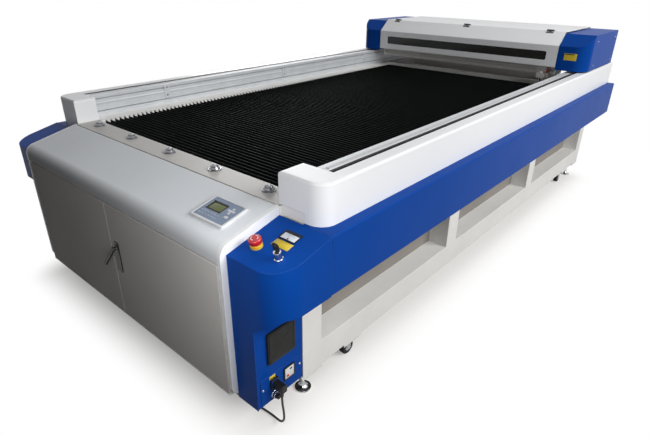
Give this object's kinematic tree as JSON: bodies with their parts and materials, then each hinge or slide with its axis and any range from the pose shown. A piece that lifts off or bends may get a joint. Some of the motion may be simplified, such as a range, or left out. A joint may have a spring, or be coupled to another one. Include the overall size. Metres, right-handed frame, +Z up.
{
  "type": "flatbed laser cutting machine",
  "caption": "Large flatbed laser cutter: travelling gantry with covers over a slatted bed, rounded side skirts, front cabinet with doors, console, levelling feet and casters.",
  "frame": {"origin": "on the floor under the centre of the machine's bounding box", "axes": "+Z up, +Y from the cabinet doors to the rear, +X to the right seen from the doors"},
  "size_m": [1.884, 3.5676, 1.135],
  "materials": {
    "frame_paint": "satin cream paint",
    "grey_paint": "satin light grey paint",
    "white_paint": "satin white paint",
    "blue_paint": "gloss deep blue paint",
    "plate_paint": "satin beige paint",
    "black_metal": "matt black",
    "bare_steel": "ground",
    "bright_metal": "polished",
    "profile_metal": "anodised",
    "belt_rubber": "matt",
    "wheel_rubber": "matt",
    "black_plastic": "matt",
    "pale_plastic": "matt",
    "stop_red": "gloss",
    "stop_yellow": "gloss",
    "tinted_pane": "tinted",
    "tube_glass": "clear",
    "cord_sheath": "matt"
  },
  "bodies": {
    "machine_base": {"base_frame": "frame_paint", "inner_panels": "frame_paint", "levelling_feet": "bright_metal", "cabinet_shell": "grey_paint", "cabinet_hood": "grey_paint", "side_plates": "white_paint", "control_boxes": "grey_paint", "control_panel": "pale_plastic", "right_console_cover": "blue_paint", "left_corner_cover": "blue_paint", "console_side_panel": "blue_paint", "fan_guard": "black_plastic", "fan_frame": "black_plastic", "inlet_panel": "blue_paint", "stop_ring": "stop_yellow", "key_barrel": "bright_metal", "right_skirt": "blue_paint", "left_skirt": "blue_paint", "right_rail_cover": "white_paint", "left_rail_cover": "white_paint", "rail_profiles": "profile_metal", "guide_rails": "bare_steel", "drive_belts": "belt_rubber", "front_plate": "plate_paint", "ball_units": "bare_steel", "slat_bed": "black_metal", "slat_combs": "frame_paint", "rear_bar": "frame_paint", "plug": "black_plastic", "power_cord": "cord_sheath", "cord_coil": "cord_sheath"},
    "left_cabinet_door": {"left_door": "grey_paint"},
    "right_cabinet_door": {"right_door": "grey_paint", "lock_plate": "bright_metal"},
    "lock_turner": {"lock_spindle": "bright_metal"},
    "lock_handle": {"lock_lever": "bright_metal"},
    "stop_plunger": {"stop_button": "stop_red"},
    "turned_key": {"key": "black_plastic"},
    "cooling_rotor": {"fan_rotor": "black_plastic"},
    "gantry": {"gantry_beam": "profile_metal", "gantry_brackets": "bare_steel", "right_gantry_cap": "blue_paint", "left_gantry_cap": "blue_paint", "gantry_rear_cover": "white_paint", "axis_motors": "black_metal", "head_belt": "belt_rubber", "laser_tube": "tube_glass"},
    "front_flap": {"gantry_front_cover": "white_paint", "cover_window": "tinted_pane"},
    "gantry_shaft": {"drive_shaft": "bare_steel"},
    "cutting_head": {"head_carriage": "profile_metal"},
    "focus_tube": {"lens_tube": "bright_metal"},
    "front_left_fork": {"front_left_caster_fork": "bare_steel"},
    "front_left_wheel": {"front_left_caster_wheel": "wheel_rubber"},
    "front_right_fork": {"front_right_caster_fork": "bare_steel"},
    "front_right_wheel": {"front_right_caster_wheel": "wheel_rubber"},
    "rear_left_fork": {"rear_left_caster_fork": "bare_steel"},
    "rear_left_wheel": {"rear_left_caster_wheel": "wheel_rubber"},
    "rear_right_fork": {"rear_right_caster_fork": "bare_steel"},
    "rear_right_wheel": {"rear_right_caster_wheel": "wheel_rubber"}
  },
  "joints": [
    {"name": "gantry_travel", "type": "slide", "parent": "machine_base", "child": "gantry", "axis": [0, 1, 0], "range_m": [-2.45, 0]},
    {"name": "head_travel", "type": "slide", "parent": "gantry", "child": "cutting_head", "axis": [1, 0, 0], "range_m": [-1.26, 0.02]},
    {"name": "lens_focus", "type": "slide", "parent": "cutting_head", "child": "focus_tube", "axis": [0, 0, 1], "range_m": [-0.012, 0.012]},
    {"name": "shaft_turn", "type": "hinge", "parent": "gantry", "child": "gantry_shaft", "pos_m": [0, 1.50875, 0.9083], "axis": [1, 0, 0], "range_deg": [0, 5850]},
    {"name": "flap_hinge", "type": "hinge", "parent": "gantry", "child": "front_flap", "pos_m": [0, 1.17375, 1.13], "axis": [-1, 0, 0], "range_deg": [0, 80]},
    {"name": "left_door_hinge", "type": "hinge", "parent": "machine_base", "child": "left_cabinet_door", "pos_m": [-0.69, -1.71525, 0.394], "axis": [0, 0, -1], "range_deg": [0, 110]},
    {"name": "right_door_hinge", "type": "hinge", "parent": "machine_base", "child": "right_cabinet_door", "pos_m": [0.69, -1.71525, 0.394], "axis": [0, 0, 1], "range_deg": [0, 110]},
    {"name": "lock_turn", "type": "hinge", "parent": "right_cabinet_door", "child": "lock_turner", "pos_m": [0.045, -1.72125, 0.47], "axis": [0, -1, 0], "range_deg": [0, 90]},
    {"name": "lock_lever_swing", "type": "hinge", "parent": "lock_turner", "child": "lock_handle", "pos_m": [0.045, -1.73625, 0.47], "axis": [1, 0, 0], "range_deg": [-38, 42]},
    {"name": "stop_push", "type": "slide", "parent": "machine_base", "child": "stop_plunger", "axis": [0, 0.2323, -0.9726], "range_m": [0, 0.005]},
    {"name": "key_turn", "type": "hinge", "parent": "machine_base", "child": "turned_key", "pos_m": [0.873, -1.62925, 0.70398], "axis": [0, -0.2323, 0.9726], "range_deg": [0, 90]},
    {"name": "fan_spin", "type": "hinge", "parent": "machine_base", "child": "cooling_rotor", "pos_m": [0.8, -1.58525, 0.351], "axis": [1, 0, 0], "continuous": true},
    {"name": "front_left_swivel", "type": "hinge", "parent": "machine_base", "child": "front_left_fork", "pos_m": [-0.77, -1.18625, 0.095], "axis": [0, 0, 1], "continuous": true},
    {"name": "front_left_roll", "type": "hinge", "parent": "front_left_fork", "child": "front_left_wheel", "pos_m": [-0.77, -1.16625, 0.037], "axis": [1, 0, 0], "continuous": true},
    {"name": "front_right_swivel", "type": "hinge", "parent": "machine_base", "child": "front_right_fork", "pos_m": [0.77, -1.18625, 0.095], "axis": [0, 0, 1], "continuous": true},
    {"name": "front_right_roll", "type": "hinge", "parent": "front_right_fork", "child": "front_right_wheel", "pos_m": [0.77, -1.16625, 0.037], "axis": [1, 0, 0], "continuous": true},
    {"name": "rear_left_swivel", "type": "hinge", "parent": "machine_base", "child": "rear_left_fork", "pos_m": [-0.77, 1.45275, 0.095], "axis": [0, 0, 1], "continuous": true},
    {"name": "rear_left_roll", "type": "hinge", "parent": "rear_left_fork", "child": "rear_left_wheel", "pos_m": [-0.77, 1.47275, 0.037], "axis": [1, 0, 0], "continuous": true},
    {"name": "rear_right_swivel", "type": "hinge", "parent": "machine_base", "child": "rear_right_fork", "pos_m": [0.77, 1.45275, 0.095], "axis": [0, 0, 1], "continuous": true},
    {"name": "rear_right_roll", "type": "hinge", "parent": "rear_right_fork", "child": "rear_right_wheel", "pos_m": [0.77, 1.47275, 0.037], "axis": [1, 0, 0], "continuous": true}
  ],
  "couplings": [
    {"joint": "shaft_turn", "follows": "gantry_travel", "rad_per_m": -41.667}
  ]
}
